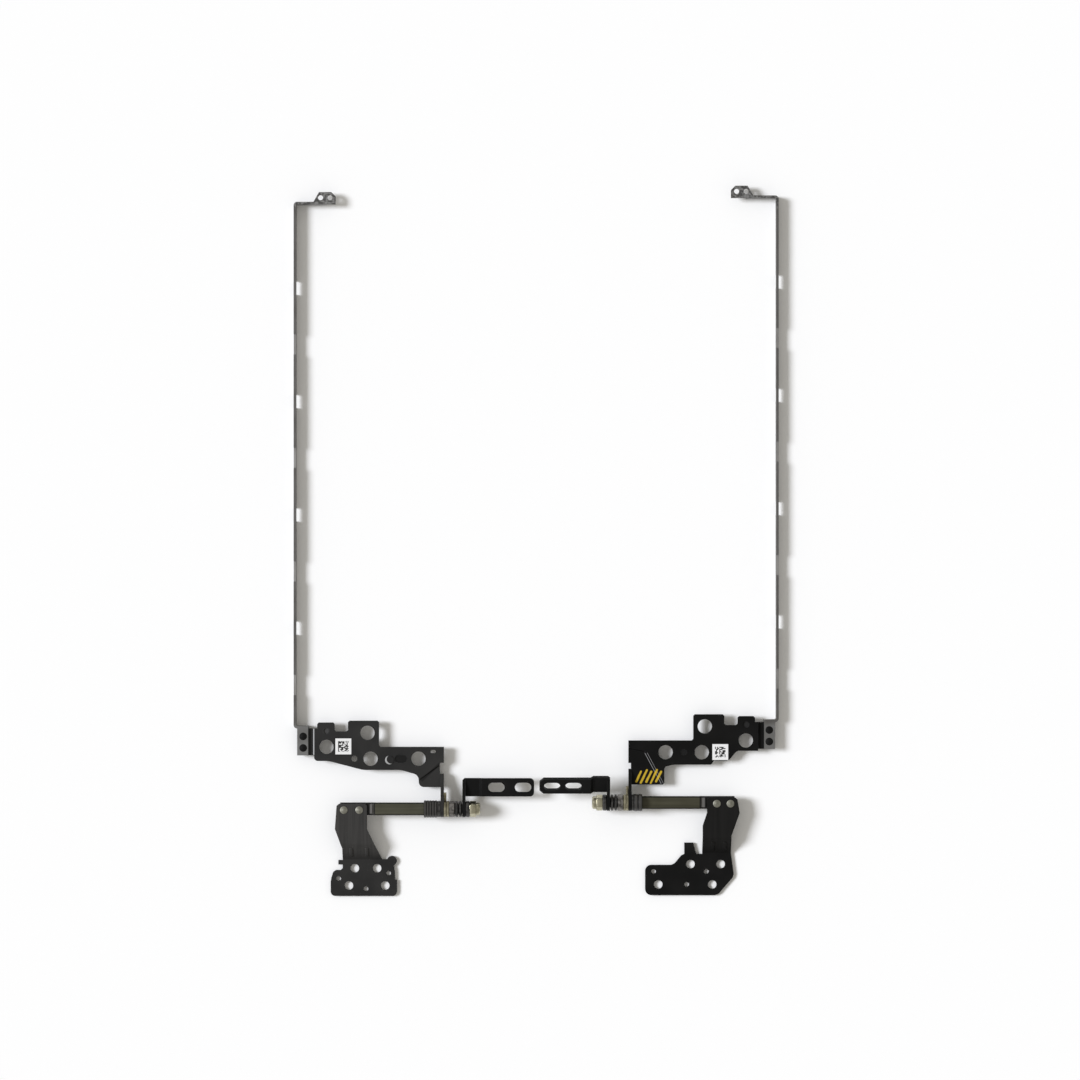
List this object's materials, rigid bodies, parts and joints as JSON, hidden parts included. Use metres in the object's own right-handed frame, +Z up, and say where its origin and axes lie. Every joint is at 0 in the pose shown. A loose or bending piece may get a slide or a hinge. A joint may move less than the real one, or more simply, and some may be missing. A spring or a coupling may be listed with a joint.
{
  "type": "laptop hinge pair",
  "caption": "Pair of friction hinges for a laptop lid, opened flat: bent steel brackets riveted to a keyed shaft with a washer stack, a slotted arm and a long edge rail along the lid.",
  "frame": {"origin": "middle of the pair's extents, on the table under it", "axes": "+X along the shafts to the right hinge, +Y along the rails towards the lid's top edge, +Z up from the table"},
  "size_m": [0.1892, 0.2774, 0.013],
  "materials": {
    "bracket_coat": "satin black electro-coat on steel sheet",
    "rail_zinc": "dull zinc plate on steel sheet",
    "shaft_steel": "oiled dark steel",
    "rivet_steel": "bright set steel",
    "washer_brass": "dull olive brass",
    "stack_black": "oiled black spring steel",
    "cam_steel": "ground grey steel",
    "nut_zinc": "yellow-passivated zinc plate",
    "label_film": "matt white film"
  },
  "bodies": {
    "base": {"left_base_bracket": "bracket_coat", "left_shaft": "shaft_steel", "left_base_rivets": "rivet_steel", "left_thrust_washer": "stack_black", "left_friction_washer": "washer_brass", "left_cam_disc": "cam_steel", "left_disc_springs": "stack_black", "left_end_washer": "stack_black", "left_lock_nut": "nut_zinc", "right_base_bracket": "bracket_coat", "right_shaft": "shaft_steel", "right_base_rivets": "rivet_steel", "right_thrust_washer": "stack_black", "right_friction_washer": "washer_brass", "right_cam_disc": "cam_steel", "right_disc_springs": "stack_black", "right_end_washer": "stack_black", "right_lock_nut": "nut_zinc"},
    "left_lid": {"left_lid_bracket": "bracket_coat", "left_lid_rail": "rail_zinc", "left_rail_rivets": "bracket_coat", "left_label": "label_film", "left_tail_washer": "washer_brass"},
    "left_arm": {"left_support_arm": "bracket_coat"},
    "right_lid": {"right_lid_bracket": "bracket_coat", "right_lid_rail": "rail_zinc", "right_rail_rivets": "bracket_coat", "right_label": "label_film", "right_tail_washer": "washer_brass"},
    "right_arm": {"right_support_arm": "bracket_coat"}
  },
  "joints": [
    {"name": "left_lid_turn", "type": "hinge", "parent": "base", "child": "left_lid", "pos_m": [-0.0372, -0.10435, 0.0056], "axis": [1, 0, 0], "range_deg": [0, 180]},
    {"name": "left_arm_turn", "type": "hinge", "parent": "base", "child": "left_arm", "pos_m": [-0.0372, -0.10435, 0.0056], "axis": [1, 0, 0], "range_deg": [0, 180]},
    {"name": "right_lid_turn", "type": "hinge", "parent": "base", "child": "right_lid", "pos_m": [0.0372, -0.10185, 0.0056], "axis": [1, 0, 0], "range_deg": [0, 180]},
    {"name": "right_arm_turn", "type": "hinge", "parent": "base", "child": "right_arm", "pos_m": [0.0372, -0.10185, 0.0056], "axis": [1, 0, 0], "range_deg": [-35, 145]}
  ]
}
